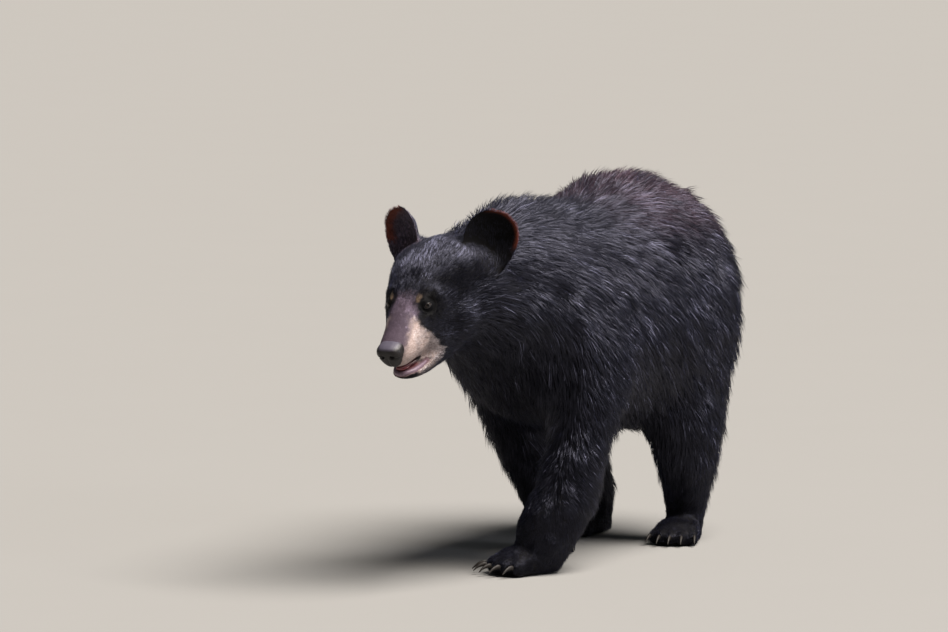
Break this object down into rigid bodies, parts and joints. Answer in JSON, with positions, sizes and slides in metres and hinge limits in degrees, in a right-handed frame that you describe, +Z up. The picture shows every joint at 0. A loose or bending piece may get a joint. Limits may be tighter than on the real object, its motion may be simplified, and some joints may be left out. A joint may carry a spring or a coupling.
{
  "type": "black bear",
  "caption": "Life-size young black bear in mid-walk, head lowered and mouth slightly open: a still museum model standing on its own flat soles.",
  "frame": {"origin": "on the floor, under the middle of the bear's bounding box", "axes": "+Z up; the bear heads along -Y, and its left side is at +X"},
  "size_m": [0.4124, 1.2692, 0.7217],
  "materials": {
    "head": "short black fur, tan on the muzzle",
    "lower_jaw": "short tan fur",
    "neck": "thick glossy black fur",
    "chest": "thick glossy black fur",
    "barrel": "thick glossy black fur",
    "hindquarters": "thick glossy black fur",
    "tail": "thick glossy black fur",
    "foreleg_left": "thick glossy black fur",
    "foreleg_right": "thick glossy black fur",
    "hindleg_left": "thick glossy black fur",
    "hindleg_right": "thick glossy black fur",
    "forepaw_left": "thick glossy black fur",
    "forepaw_right": "thick glossy black fur",
    "hindpaw_left": "thick glossy black fur",
    "hindpaw_right": "thick glossy black fur",
    "ear_left": "short black fur, brown at the rim",
    "ear_right": "short black fur, brown at the rim",
    "eye_left": "wet dark brown eye",
    "eye_right": "wet dark brown eye",
    "nose": "moist black nose leather",
    "tongue": "moist pink tongue",
    "claw_forepaw_left_1": "smooth dark horn",
    "claw_forepaw_left_2": "smooth dark horn",
    "claw_forepaw_left_3": "smooth dark horn",
    "claw_forepaw_left_4": "smooth dark horn",
    "claw_forepaw_left_5": "smooth dark horn",
    "claw_forepaw_right_1": "smooth dark horn",
    "claw_forepaw_right_2": "smooth dark horn",
    "claw_forepaw_right_3": "smooth dark horn",
    "claw_forepaw_right_4": "smooth dark horn",
    "claw_forepaw_right_5": "smooth dark horn",
    "claw_hindpaw_left_1": "smooth dark horn",
    "claw_hindpaw_left_2": "smooth dark horn",
    "claw_hindpaw_left_3": "smooth dark horn",
    "claw_hindpaw_left_4": "smooth dark horn",
    "claw_hindpaw_left_5": "smooth dark horn",
    "claw_hindpaw_right_1": "smooth dark horn",
    "claw_hindpaw_right_2": "smooth dark horn",
    "claw_hindpaw_right_3": "smooth dark horn",
    "claw_hindpaw_right_4": "smooth dark horn",
    "claw_hindpaw_right_5": "smooth dark horn"
  },
  "bodies": {
    "root": {"head": "head", "lower_jaw": "lower_jaw", "neck": "neck", "chest": "chest", "barrel": "barrel", "hindquarters": "hindquarters", "tail": "tail", "foreleg_left": "foreleg_left", "foreleg_right": "foreleg_right", "hindleg_left": "hindleg_left", "hindleg_right": "hindleg_right", "forepaw_left": "forepaw_left", "forepaw_right": "forepaw_right", "hindpaw_left": "hindpaw_left", "hindpaw_right": "hindpaw_right", "ear_left": "ear_left", "ear_right": "ear_right", "eye_left": "eye_left", "eye_right": "eye_right", "nose": "nose", "tongue": "tongue", "claw_forepaw_left_1": "claw_forepaw_left_1", "claw_forepaw_left_2": "claw_forepaw_left_2", "claw_forepaw_left_3": "claw_forepaw_left_3", "claw_forepaw_left_4": "claw_forepaw_left_4", "claw_forepaw_left_5": "claw_forepaw_left_5", "claw_forepaw_right_1": "claw_forepaw_right_1", "claw_forepaw_right_2": "claw_forepaw_right_2", "claw_forepaw_right_3": "claw_forepaw_right_3", "claw_forepaw_right_4": "claw_forepaw_right_4", "claw_forepaw_right_5": "claw_forepaw_right_5", "claw_hindpaw_left_1": "claw_hindpaw_left_1", "claw_hindpaw_left_2": "claw_hindpaw_left_2", "claw_hindpaw_left_3": "claw_hindpaw_left_3", "claw_hindpaw_left_4": "claw_hindpaw_left_4", "claw_hindpaw_left_5": "claw_hindpaw_left_5", "claw_hindpaw_right_1": "claw_hindpaw_right_1", "claw_hindpaw_right_2": "claw_hindpaw_right_2", "claw_hindpaw_right_3": "claw_hindpaw_right_3", "claw_hindpaw_right_4": "claw_hindpaw_right_4", "claw_hindpaw_right_5": "claw_hindpaw_right_5"}
  },
  "joints": []
}
